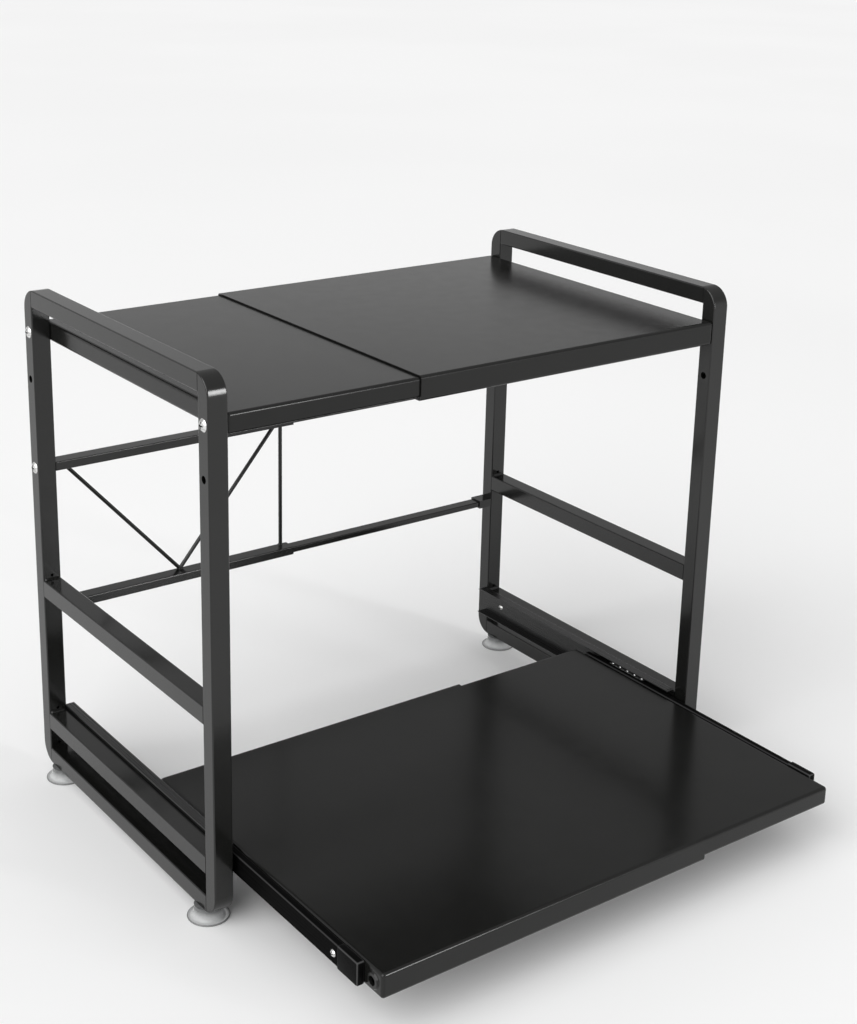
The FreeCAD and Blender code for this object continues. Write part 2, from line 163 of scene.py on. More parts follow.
class RackSlides(PropertyGroup):
    """Rolled slides and their moulded stops."""

    colour: colour_property("Slide", "Semi-gloss coat of the rolled slides", (0.003, 0.003, 0.003))
    streak_colour: colour_property("Streak", "Rolling streaks along the slides", (0.004, 0.004, 0.004))
    # Pale bends and lips: partly the thinner coat there, partly a painted highlight
    edge_coat_and_highlight_colour: colour_property("Lip", "Thin coat on the bends and lips of the slides", (0.04, 0.04, 0.04))
    roughness_low: share_property("Low roughness", "Roughness of the slides between their streaks", 0.24)
    roughness_high: share_property("High roughness", "Roughness of the slides on their streaks", 0.38)
    fixed_refraction: refraction_property("Fixed gloss", "Refractive index of the fixed member's coat", 1.5)
    moving_refraction: refraction_property(
        "Moving gloss", "Refractive index of the moving member's oiled coat", 1.04)
    streak_width: length_property("Streak width", "Width of a rolling streak", 0.0009)
    streak_length: length_property("Streak length", "Length of a rolling streak", 0.12)
    streak_depth: length_property("Streak depth", "Depth of a rolling streak", 0.000015)
    stop_colour: colour_property("Stop", "Moulded plastic of the stops", (0.004, 0.004, 0.004))
    # Painted highlight: light edges of the stops, where they would catch the light
    stop_edge_highlight_colour: colour_property("Stop edge", "Rubbed edges of the stops", (0.06, 0.06, 0.06))
    stop_refraction: refraction_property("Stop gloss", "Refractive index of the stops", 1.08)
    stop_roughness_low: share_property("Low stop roughness", "Roughness of the stops' smoother spots", 0.16)
    stop_roughness_high: share_property("High stop roughness", "Roughness of the stops' rougher spots", 0.3)
    spark_size: length_property("Spark size", "Width of the spark texture on the stops", 0.0005)
    spark_depth: length_property("Spark depth", "Depth of the spark texture on the stops", 0.00002)
    stop_radius: length_property("Stop radius", "Rounding of the stops", 0.002)
    stop_crease: angle_property("Stop crease", "Angle from which an edge of a stop looks sharp", 60)


class RackPlating(PropertyGroup):
    """Bare and plated metal."""

    screw_colour: colour_property("Screw", "Bright nickel on the screws", (0.82, 0.82, 0.81))
    screw_dull_colour: colour_property("Dull nickel", "Clouds in the nickel", (0.42, 0.42, 0.41))
    zinc_colour: colour_property("Zinc", "Zinc plate on the hidden hardware", (0.5, 0.51, 0.52))
    zinc_dull_colour: colour_property("Dull zinc", "Clouds in the zinc plate", (0.36, 0.36, 0.34))
    ball_colour: colour_property("Ball", "Polished balls", (0.72, 0.72, 0.73))
    # Painted shade: dark colour deep in the screws' recesses
    recess_shade_colour: colour_property("Recess", "Film left in the screws' recesses", (0.03, 0.03, 0.03))
    recess_reach: length_property("Recess reach", "How near the walls of a recess stand", 0.0022)
    stain_size: length_property("Stain size", "Width of the dull clouds in the nickel", 0.0022)
    stain_share: share_property("Stain share", "How far a stain dulls the nickel", 0.7)
    mark_width: length_property("Mark width", "Width of a turning mark on a screw", 0.0005)
    mark_length: length_property("Mark length", "Length of a turning mark along a screw", 0.02)
    mark_depth: length_property("Mark depth", "Depth of a turning mark on a screw", 0.00001)
    screw_roughness_low: share_property("Low screw roughness", "Roughness between turning marks", 0.12)
    screw_roughness_high: share_property("High screw roughness", "Roughness on turning marks", 0.3)
    zinc_cloud_size: length_property("Zinc clouds", "Width of the clouds in the zinc plate", 0.006)
    brush_width: length_property("Brush width", "Width of a brush mark in the zinc plate", 0.0004)
    brush_length: length_property("Brush length", "Length of a brush mark in the zinc plate", 0.008)
    brush_depth: length_property("Brush depth", "Depth of a brush mark in the zinc plate", 0.00001)
    zinc_roughness_low: share_property("Low zinc roughness", "Roughness between brush marks", 0.3)
    zinc_roughness_high: share_property("High zinc roughness", "Roughness on brush marks", 0.48)
    film_size: length_property("Film size", "Width of the clouds of grease on the balls", 0.0025)
    film_share: share_property("Film share", "How far the grease dulls the balls", 0.4)
    ball_roughness_low: share_property("Low ball roughness", "Roughness of a clean ball", 0.06)
    ball_roughness_high: share_property("High ball roughness", "Roughness of a greased ball", 0.2)


class RackFeet(PropertyGroup):
    """Clear suction feet; the outer sizes come from the frame."""

    colour: colour_property("Vinyl", "Clear soft vinyl", (0.7, 0.71, 0.71))
    # Painted shade: the dark outline at the rim and the dark neck under the rail
    shade_colour: colour_property("Shade", "Vinyl at the rim and in the neck, where it is thick",
                                  (0.06, 0.062, 0.062))
    opacity: share_property("Opacity", "How much the vinyl hides where it is thin", 0.5)
    rim_share: share_property("Rim share", "Share of the cup's radius beyond which the rim is shaded", 0.95)
    rim_shade: share_property("Rim shade", "How far the rim takes the shade's colour", 0.8)
    neck_shade: share_property("Neck shade", "How far the neck takes the shade's colour", 0.88)
    shade_start: share_property("Shade start", "Share of the height at which the neck's shade starts", 0.25)
    shade_end: share_property("Shade end", "Share of the height at which the neck's shade is full", 0.75)
    refraction: refraction_property("Refraction", "Refractive index of the vinyl", 1.45)
    roughness: share_property("Roughness", "Middle roughness of the vinyl", 0.22)
    roughness_spread: share_property("Roughness spread", "How far the roughness wanders to each side", 0.08)
    cloud_size: length_property("Cloud size", "Width of the clouds in the vinyl", 0.004)
    cloud_depth: length_property("Cloud depth", "Depth of the ripples over the clouds", 0.00004)
    cloud_share: share_property("Cloud share", "Share of the vinyl's colour that is left in a cloud", 0.92)
    neck_share: share_property("Neck", "Neck radius as a share of the cup's radius", 0.67)
    neck_height: length_property("Neck height", "Height of the neck under the rail", 0.0035)
    waist: length_property("Waist", "How far the neck draws in", 0.0005)
    bell: FloatProperty(name="Bell", description="Power that bends the bell from neck to rim", default=5.0,
                        min=1.0)
    rim: length_property("Rim", "Thickness of the cup's rim", 0.0016)
    rim_width: FloatProperty(name="Rim width", description="Width of the flat rim, in rim thicknesses",
                             default=2.2, min=1.0)
    dome: length_property("Dome", "Height of the hollow under the cup", 0.0035)
    stud_clearance: length_property("Stud clearance", "Room around the stud", 0.00005)
    crease: angle_property("Crease", "Angle from which an edge of a cup looks sharp", 40)
    steps: IntProperty(name="Steps", description="Points around the cup", default=96, min=16)


class RackWelds(PropertyGroup):
    """Weld seams of the rails and of the brace wires."""

    leg: length_property("Leg", "Reach of a seam on each face", 0.0017)
    bulge: length_property("Bulge", "Crown of a seam over its straight chord", 0.0002)
    ripple: share_property("Ripple", "Change of a seam's reach from ripple to ripple", 0.07)
    ripple_pitch: length_property("Ripple pitch", "Distance between ripples", 0.0013)
    end_gap: length_property("End gap", "How far a seam stops from the rail's sides", 0.0014)
    tip_share: share_property("Tip share", "Share of a seam's length that is cut off each tapered end", 0.002)
    spot_radius: length_property("Spot radius", "Radius of the spot at a wire's end", 0.0027)
    spot_height: length_property("Spot height", "Height of the spot at a wire's end", 0.0014)
    crease: angle_property("Crease", "Angle from which an edge of a weld looks sharp", 50)


class RackStage(PropertyGroup):
    """Floor, light and camera."""

    floor_colour: colour_property("Floor", "Plain pale floor", (0.9, 0.9, 0.9))
    floor_radius: length_property("Floor radius", "Half the width of the floor", 60.0)
    floor_roughness: share_property("Floor roughness", "Roughness of the floor", 0.9)
    floor_cloud_size: length_property("Floor clouds", "Width of the faint clouds on the floor", 1.5)
    floor_cloud_share: share_property("Floor cloud share", "Share of the colour left in a cloud", 0.985)
    sky_low: share_property("Horizon light", "Light from the horizon", 0.92)
    sky_bright: share_property("Bright side", "Light from the sky on the side of the key", 0.7)
    sky_dim: share_property("Dim side", "Light from the sky on the far side of the key", 0.31)
    sky_turn: share_property("Sky turn", "Cosine of the angle to the key at which a side is reached", 0.8)
    sky_glow: share_property("Glow", "Rise, as a share of straight up, over which the horizon fades", 0.45)
    key_source: FloatVectorProperty(name="Key source", description="Direction that the key light comes from",
                                    size=3, default=(-0.8, -0.2, 0.56), subtype="DIRECTION")
    key_spread: angle_property("Key spread", "How wide the key light is", 60)
    key_strength: FloatProperty(name="Key strength", description="Strength of the key light", default=2.2,
                                min=0.0)
    window_place: FloatVectorProperty(name="Window", description="Where the tall front window stands", size=3,
                                      default=(2.08, -4.33, 1.4), subtype="XYZ", unit="LENGTH")
    window_width: length_property("Window width", "Width of the tall front window", 0.6)
    window_height: length_property("Window height", "Height of the tall front window", 1.8)
    window_spread: angle_property("Window spread", "Angle over which the tall front window shines", 40)
    window_power: FloatProperty(name="Window power", description="Power of the tall front window",
                                default=3.9, min=0.0, unit="POWER")
    lens: FloatProperty(name="Lens", description="Focal length on a 36 mm long side", default=60.49,
                        unit="CAMERA")
    shift: FloatProperty(name="Shift", description="Vertical shift of the frame", default=-0.1094)
    camera_place: FloatVectorProperty(name="Camera", description="Where the camera stands", size=3,
                                      default=(-0.90155, -1.18152, 0.87075), subtype="XYZ", unit="LENGTH")
    yaw: angle_property("Yaw", "Turn of the camera from straight ahead", -36.76)
    pitch: angle_property("Pitch", "How far the camera looks down", 17.235)
    roll: angle_property("Roll", "Tilt of the camera about its view", 1.413)


class Nodes:
    """Short ways to put nodes into a shader tree."""

    def __init__(self, tree):
        self.tree = tree

    def feed(self, node, values):
        """Gives each named input of a node a fixed value or a link from another node."""
        for socket, value in values.items():
            if isinstance(value, bpy.types.NodeSocket):
                self.tree.links.new(value, node.inputs[socket])
            else:
                node.inputs[socket].default_value = value

    def add(self, kind, values, **settings):
        """New node of a kind, with its settings and inputs."""
        node = self.tree.nodes.new("ShaderNode" + kind)
        for setting, value in settings.items():
            setattr(node, setting, value)
        self.feed(node, values)
        return node

    def math(self, operation, *values):
        """Result of a Math node."""
        return self.add("Math", dict(enumerate(values)), operation=operation).outputs[0]

    def span(self, value, low, high, source=NOISE_SPAN):
        """Value carried smoothly from a source range into the range low to high."""
        start, end = source
        inputs = {"Value": value, "From Min": start, "From Max": end, "To Min": low, "To Max": high}
        return self.add("MapRange", inputs, interpolation_type="SMOOTHSTEP").outputs[0]


class Finish(Nodes):
    """A material in the making: one Principled shader and the nodes that vary it over a piece."""

    def __init__(self, name, constants):
        self.material = bpy.data.materials.new(name)
        self.material.use_nodes = True
        super().__init__(self.material.node_tree)
        self.shader = self.tree.nodes["Principled BSDF"]
        self.feed(self.shader, constants)

    def noise(self, size, detail=2.0):
        """Noise on Object coordinates; size is a length, or one for each axis, that a cloud measures."""
        scale = np.broadcast_to(1.0 / np.asarray(size, float), 3)
        place = self.add("TexCoord", {}).outputs["Object"]
        mapped = self.add("Mapping", {"Vector": place, "Scale": tuple(scale)}).outputs[0]
        return self.add("TexNoise", {"Vector": mapped, "Scale": 1.0, "Detail": detail}).outputs[0]

    def blend(self, share, under, over):
        """Mix of two colours, each a link or three numbers; 6, 7 and 2 are the Mix node's colour sockets."""
        inputs = {0: share}
        for socket, colour in ((6, under), (7, over)):
            inputs[socket] = colour if isinstance(colour, bpy.types.NodeSocket) else (*colour, 1.0)
        return self.add("Mix", inputs, data_type="RGBA").outputs[2]

    def bump(self, height, depth, under=None):
        """Normal that stands for a height field of that depth, over an earlier one."""
        inputs = {"Height": height, "Distance": depth, "Strength": 1.0}
        if under is not None:
            inputs["Normal"] = under
        return self.add("Bump", inputs).outputs[0]

    def normal_parts(self):
        """Sizes of the three parts of the surface's normal, in the piece's own frame."""
        normal = self.add("TexCoord", {}).outputs["Normal"]
        sizes = self.add("VectorMath", {0: normal}, operation="ABSOLUTE").outputs[0]
        return self.add("SeparateXYZ", {0: sizes}).outputs

    def rounded_edges(self):
        """1 where the surface rounds from one flat face into the next, 0 on the faces."""
        x, y, z = self.normal_parts()
        largest = self.math("MAXIMUM", self.math("MAXIMUM", x, y), z)
        return self.span(largest, 1.0, 0.0, EDGE_SPAN)

    def shaded_recesses(self, reach):
        """1 deep in a recess whose walls stand within a reach, 0 in the open; it places painted shade."""
        openness = self.add("AmbientOcclusion", {"Distance": reach}, only_local=True).outputs["AO"]
        return self.span(openness, 1.0, 0.0, RECESS_SPAN)

    def long_edges(self):
        """1 on the edges beside the side faces of a loop, 0 on the faces and along the bends."""
        slant = self.math("ABSOLUTE", self.math("MULTIPLY_ADD", self.normal_parts()[0], 2.0, -1.0))
        return self.span(slant, 1.0, 0.0, LONG_EDGE_SPAN)


def powder_coat(coat, name, sheen, roughness, edges):
    """Satin powder coat: clouded black, dimpled and finely grained, thinner and rubbed along the edges, where
    the lighter colour is also a painted highlight.

    Edges is the pattern that finds the edges, or None for pieces that have none.
    """
    finish = Finish(name, {"Metallic": 0.0, "IOR": coat.refraction, "Specular IOR Level": sheen})
    cloud = finish.noise(coat.patch_size)
    edge = edges(finish) if edges else 0.0
    clouded = finish.blend(finish.span(cloud, 0.0, 1.0), coat.colour, coat.patch_colour)
    low = roughness - coat.roughness_spread
    high = roughness + coat.roughness_spread
    rough = finish.span(finish.noise(coat.rough_size), low, high)
    peel = finish.bump(finish.noise(coat.peel_size, detail=1.0), coat.peel_height)
    finish.feed(finish.shader, {
        # Lighter edges: thinner coat and a painted highlight
        "Base Color": finish.blend(edge, clouded, coat.edge_coat_and_highlight_colour),
        "Roughness": finish.math("MULTIPLY_ADD", edge, -coat.edge_gloss, rough),
        "Normal": finish.bump(finish.noise(coat.grain_size, detail=0.0), coat.grain_height, peel),
    })
    return finish.material


def slide_coat(slides, name, refraction):
    """Semi-gloss black on rolled sheet, with fine streaks along the slide and pale bends, their paleness
    partly a thinner coat and partly a painted highlight.
    """
    finish = Finish(name, {"Metallic": 0.0, "IOR": refraction})
    streak = finish.noise((slides.streak_width, slides.streak_length, slides.streak_width))
    edge = finish.rounded_edges()
    streaked = finish.blend(finish.span(streak, 0.0, 1.0), slides.colour, slides.streak_colour)
    finish.feed(finish.shader, {
        # Pale bends and lips: thinner coat and a painted highlight
        "Base Color": finish.blend(edge, streaked, slides.edge_coat_and_highlight_colour),
        "Roughness": finish.span(streak, slides.roughness_low, slides.roughness_high),
        "Normal": finish.bump(streak, slides.streak_depth),
    })
    return finish.material


def moulded_plastic(slides):
    """Black moulded plastic with a fine spark texture and edges painted light as a highlight."""
    finish = Finish("moulded_stop", {"Metallic": 0.0, "IOR": slides.stop_refraction})
    spark = finish.noise(slides.spark_size, detail=1.0)
    edge = finish.rounded_edges()
    finish.feed(finish.shader, {
        # Light edges are a painted highlight
        "Base Color": finish.blend(edge, slides.stop_colour, slides.stop_edge_highlight_colour),
        "Roughness": finish.span(spark, slides.stop_roughness_low, slides.stop_roughness_high),
        "Normal": finish.bump(spark, slides.spark_depth),
    })
    return finish.material


def bright_nickel(plating):
    """Nickel plate on the screws: dully clouded, with painted shade in the recess, and turning marks."""
    finish = Finish("bright_nickel", {"Metallic": 1.0})
    turned = finish.noise((plating.mark_length, plating.mark_width, plating.mark_width), detail=3.0)
    stain = finish.span(finish.noise(plating.stain_size), 0.0, plating.stain_share)
    plate = finish.blend(stain, plating.screw_colour, plating.screw_dull_colour)
    finish.feed(finish.shader, {
        # Painted shade in the recess, where little light reaches
        "Base Color": finish.blend(finish.shaded_recesses(plating.recess_reach), plate, plating.recess_shade_colour),
        "Roughness": finish.span(turned, plating.screw_roughness_low, plating.screw_roughness_high),
        "Normal": finish.bump(turned, plating.mark_depth),
    })
    return finish.material


def zinc_plate(plating):
    """Zinc plate: softly clouded, brushed grey metal."""
    finish = Finish("zinc_plate", {"Metallic": 1.0})
    cloud = finish.noise(plating.zinc_cloud_size, detail=3.0)
    brush = finish.noise((plating.brush_width, plating.brush_length, plating.brush_width))
    finish.feed(finish.shader, {
        "Base Color": finish.blend(finish.span(cloud, 0.0, 1.0), plating.zinc_colour,
                                   plating.zinc_dull_colour),
        "Roughness": finish.span(brush, plating.zinc_roughness_low, plating.zinc_roughness_high),
        "Normal": finish.bump(brush, plating.brush_depth),
    })
    return finish.material


def polished_steel(plating):
    """Polished balls with a faint film of grease."""
    finish = Finish("polished_steel", {"Metallic": 1.0})
    film = finish.noise(plating.film_size)
    finish.feed(finish.shader, {
        "Base Color": finish.blend(finish.span(film, 0.0, plating.film_share), plating.ball_colour,
                                   plating.zinc_dull_colour),
        "Roughness": finish.span(film, plating.ball_roughness_low, plating.ball_roughness_high),
    })
    return finish.material


def clear_vinyl(feet):
    """Clear soft vinyl, slightly clouded, with painted shade at the rim and in the neck."""
    finish = Finish("clear_vinyl", {"Metallic": 0.0, "IOR": feet.refraction})
    cloud = finish.noise(feet.cloud_size)
    low = feet.roughness - feet.roughness_spread
    high = feet.roughness + feet.roughness_spread
    dull = tuple(feet.cloud_share * part for part in feet.colour)
    clouded = finish.blend(finish.span(cloud, 0.0, 1.0), feet.colour, dull)
    shade = finish.add("Attribute", {}, attribute_name=SHADE).outputs["Fac"]
    finish.feed(finish.shader, {
        "Base Color": finish.blend(shade, clouded, feet.shade_colour),
        "Alpha": finish.math("MULTIPLY_ADD", shade, 1.0 - feet.opacity, feet.opacity),
        "Roughness": finish.span(cloud, low, high),
        "Normal": finish.bump(cloud, feet.cloud_depth),
    })
    return finish.material


def dress(material, *nodes):
    """Gives CAD nodes a finish as their only material."""
    for node in nodes:
        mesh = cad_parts[node].data
        mesh.materials.clear()
        mesh.materials.append(material)


def both_sides(*names):
    """Names of the left and right nodes."""
    return [f"{side}_{name}" for name in names for side in SIDES]


def new_piece(name, points, faces, material, body, slot, sharp, shade=None):
    """Mesh object of a new piece, smooth except over edges sharper than an angle, riding on a body.

    Where a shade is given for each point, it becomes the attribute that the material reads.
    """
    mesh = bpy.data.meshes.new(name)
    mesh.from_pydata(points, [], faces)
    mesh.polygons.foreach_set("use_smooth", np.ones(len(mesh.polygons), bool))
    mesh.set_sharp_from_angle(angle=sharp)
    mesh.materials.append(material)
    if shade is not None:
        mesh.attributes.new(SHADE, "FLOAT", "POINT").data.foreach_set("value", shade)
    mesh.validate()
    piece = bpy.data.objects.new(name, mesh)
    bpy.context.scene.collection.objects.link(piece)
    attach(piece, body)
    return piece


def ring_faces(rings, steps):
    """Quads between closed rings of points: point j of ring i joins point j + 1 and ring i + 1."""
    i, j = np.meshgrid(np.arange(rings - 1), np.arange(steps), indexing="ij")
    k = (j + 1) % steps
    quads = np.stack([i * steps + j, i * steps + k, (i + 1) * steps + k, (i + 1) * steps + j], axis=-1)
    return quads.reshape(-1, 4)


def lathe(profile, centre, steps):
    """Surface of revolution: (r, z) of the profile turned about a vertical axis through the centre.

    The point at angle a is (r cos a, r sin a, z); the profile starts and ends on the axis, and those two
    ends are single points joined to the next ring by triangles.
    """
    angle = np.linspace(0.0, 2.0 * math.pi, steps, endpoint=False)
    radius, height = profile[1:-1, 0, None], profile[1:-1, 1, None]
    rings = np.stack(np.broadcast_arrays(radius * np.cos(angle), radius * np.sin(angle), height), axis=-1)
    poles = np.zeros((2, 3))
    poles[:, 2] = profile[[0, -1], 1]
    points = np.concatenate([rings.reshape(-1, 3), poles]) + np.asarray(centre, float)
    count = len(profile) - 2
    around = np.arange(steps)
    onward = (around + 1) % steps
    first, last = count * steps, count * steps + 1
    start = np.stack([np.full(steps, first), around, onward], axis=-1)
    base = (count - 1) * steps
    finish = np.stack([np.full(steps, last), base + onward, base + around], axis=-1)
    return points, start.tolist() + ring_faces(count, steps)[:, ::-1].tolist() + finish.tolist()


def cup_profile(feet, radius, height, stud_radius, stud_bottom):
    """Half section of a suction cup as (r, z), from the floor of its stud hole to the top of its hollow.

    The neck draws in as a half sine, the bell falls as a power of 1 - t from neck to rim, the rim is a half
    circle, and the hollow is a parabola.
    """
    t = np.linspace(0.0, 1.0, CUP_POINTS)
    neck = feet.neck_share * radius
    shoulder = height - feet.neck_height
    hole = stud_radius + feet.stud_clearance
    half_rim = feet.rim / 2
    flare = radius - half_rim
    inner = radius - feet.rim_width * feet.rim
    around = np.linspace(math.pi / 2, -math.pi / 2, RIM_POINTS)
    fall = (1 - t) ** feet.bell
    stretches = [
        np.array([(0.0, stud_bottom), (hole, stud_bottom), (hole, height)]),
        np.stack([neck - feet.waist * np.sin(math.pi * t), height + (shoulder - height) * t], axis=-1),
        np.stack([neck + (flare - neck) * t, feet.rim + (shoulder - feet.rim) * fall], axis=-1)[1:],
        np.stack([flare + half_rim * np.cos(around), half_rim + half_rim * np.sin(around)], axis=-1)[1:],
        np.stack([inner * (1 - t), feet.dome * (1 - (1 - t) ** 2)], axis=-1),
    ]
    return np.concatenate(stretches)


def seam(start, end, first, second, welds):
    """Weld seam in the corner between two faces that leave it along the first and second directions.

    At the share s of its length its reach is leg (1 + ripple cos(2 pi s L / pitch)) times the eighth-power
    taper sqrt(1 - (2 s - 1)^8). Across it, the chord between the two reaches is raised by a half sine, and
    the ring closes in the corner.
    """
    start, end, first, second = (np.asarray(v, float) for v in (start, end, first, second))
    length = np.linalg.norm(end - start)
    s = np.linspace(welds.tip_share, 1.0 - welds.tip_share, SEAM_RINGS)[:, None, None]
    taper = np.sqrt(1.0 - (2.0 * s - 1.0) ** 8)
    reach = welds.leg * (1.0 + welds.ripple * np.cos(2.0 * math.pi * s * length / welds.ripple_pitch)) * taper
    t = np.linspace(0.0, 1.0, SEAM_POINTS)[None, :, None]
    crown = welds.bulge * taper * np.sin(math.pi * t) * (first + second) / math.sqrt(2.0)
    face = reach * ((1.0 - t) * first + t * second) + crown
    corner = np.zeros((s.shape[0], 1, 3))
    rings = start + s * (end - start) + np.concatenate([face, corner], axis=1)
    count, steps = rings.shape[:2]
    faces = ring_faces(count, steps).tolist()
    faces += [list(range(steps))[::-1], list(range((count - 1) * steps, count * steps))]
    if np.dot(np.cross(first, second), end - start) < 0:
        faces = [face[::-1] for face in faces]
    return rings.reshape(-1, 3), faces


def rounded_block(low, high, radius):
    """Block along Y between two corners, every edge rounded.

    A ring is a rectangle with quarter-circle corners. From each end inwards, the corners' radius grows as
    the sine of a quarter turn, and the way from the end as the radius times one minus its cosine.
    """
    low, high = np.asarray(low, float), np.asarray(high, float)
    turn = np.linspace(BLOCK_END_TURN, math.pi / 2, BLOCK_RINGS)
    shrink = radius * np.sin(turn)
    move = radius * (1.0 - np.cos(turn))
    arc = np.concatenate([shrink, shrink[::-1]])[:, None]
    y = np.concatenate([low[1] + move, high[1] - move[::-1]])[:, None]
    quarter = np.linspace(0.0, math.pi / 2, CORNER_POINTS)
    angle = np.concatenate([quarter + k * math.pi / 2 for k in range(4)])
    corner = np.repeat(np.arange(4), quarter.size)
    side_x = np.array([1, -1, -1, 1])[corner]
    side_z = np.array([1, 1, -1, -1])[corner]
    middle, half = (low + high) / 2, (high - low) / 2 - radius
    x = middle[0] + side_x * half[0] + arc * np.cos(angle)
    z = middle[2] + side_z * half[2] + arc * np.sin(angle)
    rings = np.stack(np.broadcast_arrays(x, y, z), axis=-1)
    count, steps = rings.shape[:2]
    ends = [list(range(steps))[::-1], list(range((count - 1) * steps, count * steps))]
    faces = ring_faces(count, steps).tolist() + ends
    return rings.reshape(-1, 3), [face[::-1] for face in faces]


def dome(centre, up, radius, height):
    """Half ellipsoid on a level face: (radius cos t, height sin t) up to a quarter turn, turned round."""
    t = np.linspace(math.pi / 2, 0.0, SPOT_POINTS)
    profile = np.concatenate([np.stack([radius * np.cos(t), height * np.sin(t)], axis=-1), [(0.0, 0.0)]])
    profile[0, 0] = 0.0
    points, faces = lathe(profile, (0.0, 0.0, 0.0), SPOT_STEPS)
    if up < 0:
        faces = [face[::-1] for face in faces]
    return points * (1.0, 1.0, up) + np.asarray(centre, float), faces


def joined(shapes):
    """Points and faces of several shapes as one mesh."""
    points, faces, count = [], [], 0
    for shape_points, shape_faces in shapes:
        points.append(shape_points)
        faces += [[index + count for index in face] for face in shape_faces]
        count += len(shape_points)
    return np.concatenate(points), faces


class RACK_OT_side_frames(Operator):
    """Coats the bent loops and the rails welded into them"""

    bl_idname = "rack.side_frames"
    bl_label = "Coat side frames"

    def execute(self, context):
        coat = context.scene.rack_coat
        black = powder_coat(coat, "loop_coat", coat.tube_sheen, coat.tube_roughness, Finish.long_edges)
        dress(black, *both_sides("side_loop", "mid_rail", "lower_rail"))
        return {"FINISHED"}


class RACK_OT_panels(Operator):
    """Coats the halves of the shelf and of the tray, and the strap under the shelf"""

    bl_idname = "rack.panels"
    bl_label = "Coat shelf and tray"

    def execute(self, context):
        coat = context.scene.rack_coat
        black = powder_coat(coat, "panel_coat", coat.sheet_sheen, coat.sheet_roughness, Finish.rounded_edges)
        dress(black, "shelf_tie_strap", *[f"{panel}_{side}" for panel in ("shelf", "tray") for side in SIDES])
        return {"FINISHED"}


class RACK_OT_back_bars(Operator):
    """Coats the telescoping back bars and the brace wires"""

    bl_idname = "rack.back_bars"
    bl_label = "Coat back bars"

    def execute(self, context):
        coat = context.scene.rack_coat
        black = powder_coat(coat, "bar_coat", coat.tube_sheen, coat.tube_roughness, Finish.rounded_edges)
        dress(black, *both_sides("upper_back_bar", "lower_back_bar"))
        dress(black, "right_upper_bar_block", "right_lower_bar_block")
        dress(powder_coat(coat, "wire_coat", coat.tube_sheen, coat.tube_roughness, None), *WIRES)
        return {"FINISHED"}


class RACK_OT_slides(Operator):
    """Finishes the slide members and their balls"""

    bl_idname = "rack.slides"
    bl_label = "Finish slides"

    def execute(self, context):
        slides = context.scene.rack_slides
        plating = context.scene.rack_plating
        dress(slide_coat(slides, "fixed_slide_coat", slides.fixed_refraction), *both_sides("slide_fixed"))
        dress(slide_coat(slides, "moving_slide_coat", slides.moving_refraction), *both_sides("slide_moving"))
        dress(polished_steel(plating), *both_sides("slide_balls"))
        return {"FINISHED"}


class RACK_OT_slide_stops(Operator):
    """Moulds the rounded stops that cap the front ends of the moving slide members"""

    bl_idname = "rack.slide_stops"
    bl_label = "Make slide stops"

    def execute(self, context):
        slides = context.scene.rack_slides
        plastic = moulded_plastic(slides)
        for side in SIDES:
            node = f"{side}_slide_stop"
            low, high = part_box(node)
            points, faces = rounded_block(low, high, slides.stop_radius)
            stop = new_piece(f"{side}_stop_block", points, faces, plastic, f"tray_{side}", "stop_plastic",
                             slides.stop_crease)
            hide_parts(node)
        return {"FINISHED"}


class RACK_OT_hardware(Operator):
    """Plates the screws and the hidden steel pieces"""

    bl_idname = "rack.hardware"
    bl_label = "Plate screws and steel"

    def execute(self, context):
        plating = context.scene.rack_plating
        zinc = zinc_plate(plating)
        dress(bright_nickel(plating), *both_sides("shelf_screws", "bar_screw", "rail_screws", "tray_screws"))
        dress(zinc, *both_sides("shelf_nuts", "foot_studs", "ball_cage"))
        dress(zinc, "left_upper_bar_insert", "left_lower_bar_plug")
        return {"FINISHED"}


class RACK_OT_suction_feet(Operator):
    """Turns the four clear suction cups and puts them in place of the frame's plain ones"""

    bl_idname = "rack.suction_feet"
    bl_label = "Make suction feet"

    def execute(self, context):
        feet = context.scene.rack_feet
        vinyl = clear_vinyl(feet)
        for node in both_sides("front_foot", "back_foot"):
            side = node.split("_")[0]
            low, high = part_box(node)
            stud_low, stud_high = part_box(f"{side}_foot_studs")
            middle = (low + high) / 2
            radius = (high.x - low.x) / 2
            profile = cup_profile(feet, radius, high.z, (stud_high.x - stud_low.x) / 2, stud_low.z)
            points, faces = lathe(profile, (middle.x, middle.y, 0.0), feet.steps)
            spread = np.hypot(points[:, 0] - middle.x, points[:, 1] - middle.y) / radius
            height = points[:, 2] / high.z
            rise = np.clip((height - feet.shade_start) / (feet.shade_end - feet.shade_start), 0.0, 1.0)
            # Painted shade: a dark outline beyond the rim share, and a neck that darkens with height
            shade = np.where(spread > feet.rim_share, feet.rim_shade, feet.neck_shade * rise)
            cup = new_piece(f"{node}_cup", points, faces, vinyl, f"{side}_half", "clear_cup",
                            feet.crease, shade)
            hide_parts(node)
        return {"FINISHED"}


